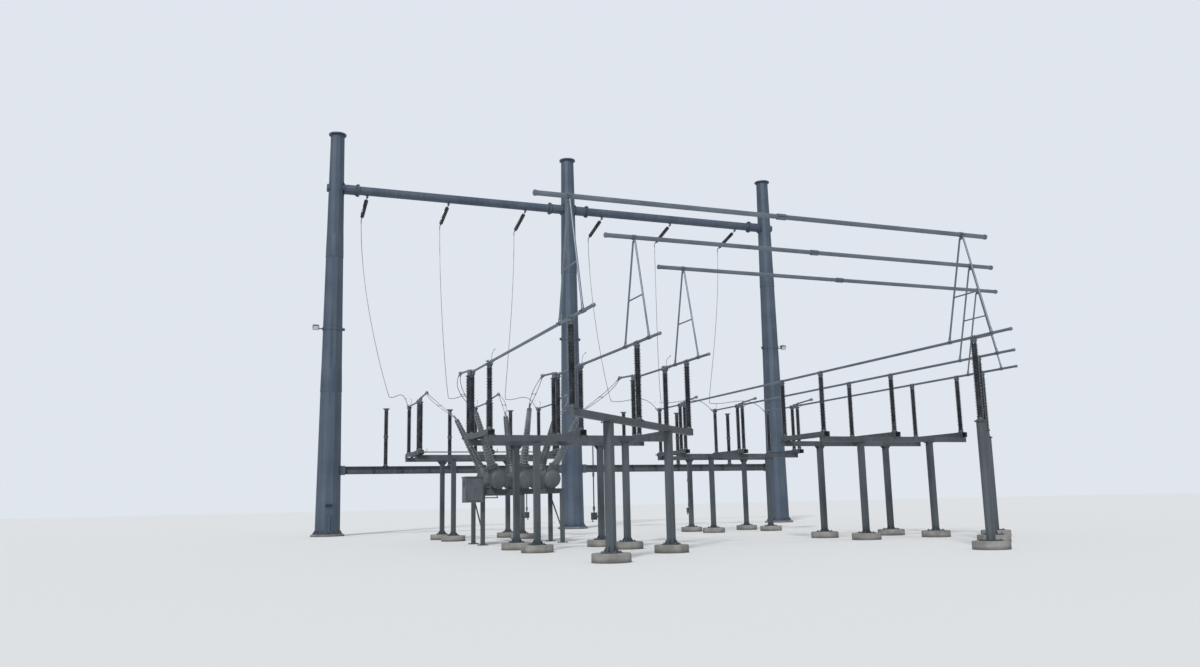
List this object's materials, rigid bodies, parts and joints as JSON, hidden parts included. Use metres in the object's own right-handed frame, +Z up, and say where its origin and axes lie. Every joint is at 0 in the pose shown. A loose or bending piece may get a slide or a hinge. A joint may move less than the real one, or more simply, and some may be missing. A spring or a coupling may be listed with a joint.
{
  "type": "substation switchgear bay",
  "caption": "Outdoor high-voltage switchgear bay: tapered-pole take-off gantry, high and low bus tubes on post insulators, ganged disconnect switches and a dead-tank circuit breaker.",
  "frame": {"origin": "on the ground in the middle of the yard: bottom centre of the bounding box", "axes": "+X along the gantry to the right as seen from the front, +Y away from the front towards the gantry, +Z up"},
  "size_m": [32.6062, 39.9868, 24.5],
  "materials": {
    "galvanised_steel": "matt galvanised, dulled",
    "aluminium": "satin, weathered",
    "porcelain": "glazed dark grey",
    "concrete": "cast concrete, rough",
    "grey_paint": "light grey paint, weathered"
  },
  "bodies": {
    "bay": {"gantry_pole_left": "galvanised_steel", "gantry_pole_middle": "galvanised_steel", "gantry_pole_right": "galvanised_steel", "gantry_footings": "concrete", "strain_beam_left": "galvanised_steel", "strain_beam_right": "galvanised_steel", "gantry_lower_beams": "galvanised_steel", "lamps": "grey_paint", "strain_insulators_left": "porcelain", "strain_insulators_right": "porcelain", "line_arresters": "porcelain", "drop_conductors_left": "aluminium", "drop_conductors_right": "aluminium", "high_bus_front": "aluminium", "high_bus_middle": "aluminium", "high_bus_rear": "aluminium", "bus_struts_left": "aluminium", "bus_struts_right": "aluminium", "low_buses_left": "aluminium", "low_buses_right": "aluminium", "stand_footings_left": "concrete", "stand_footings_right": "concrete", "diagonal_stand": "galvanised_steel", "diagonal_stand_insulators": "porcelain", "end_columns": "galvanised_steel", "end_insulators": "porcelain", "bus_stand": "galvanised_steel", "bus_stand_insulators": "porcelain", "left_switch_stand": "galvanised_steel", "left_switch_insulators": "porcelain", "left_switch_contacts": "aluminium", "left_switch_drive": "galvanised_steel", "rear_switch_stand": "galvanised_steel", "rear_switch_insulators": "porcelain", "rear_switch_contacts": "aluminium", "rear_switch_drive": "galvanised_steel", "right_switch_stand": "galvanised_steel", "right_switch_insulators": "porcelain", "right_switch_contacts": "aluminium", "right_switch_drive": "galvanised_steel", "breaker_frame": "galvanised_steel", "breaker_tanks": "grey_paint", "breaker_bushings": "porcelain", "breaker_cabinet": "grey_paint", "breaker_leads": "aluminium"},
    "left_switch": {"left_switch_blades": "aluminium"},
    "rear_switch": {"rear_switch_blades": "aluminium"},
    "right_switch": {"right_switch_blades": "aluminium"}
  },
  "joints": [
    {"name": "left_switch_hinge", "type": "hinge", "parent": "bay", "child": "left_switch", "pos_m": [0, -7.39341, 6.42], "axis": [-1, 0, 0], "range_deg": [0, 85]},
    {"name": "rear_switch_hinge", "type": "hinge", "parent": "bay", "child": "rear_switch", "pos_m": [0, 3.00659, 6.42], "axis": [1, 0, 0], "range_deg": [0, 85]},
    {"name": "right_switch_hinge", "type": "hinge", "parent": "bay", "child": "right_switch", "pos_m": [0, 2.45659, 6.42], "axis": [1, 0, 0], "range_deg": [0, 85]}
  ]
}
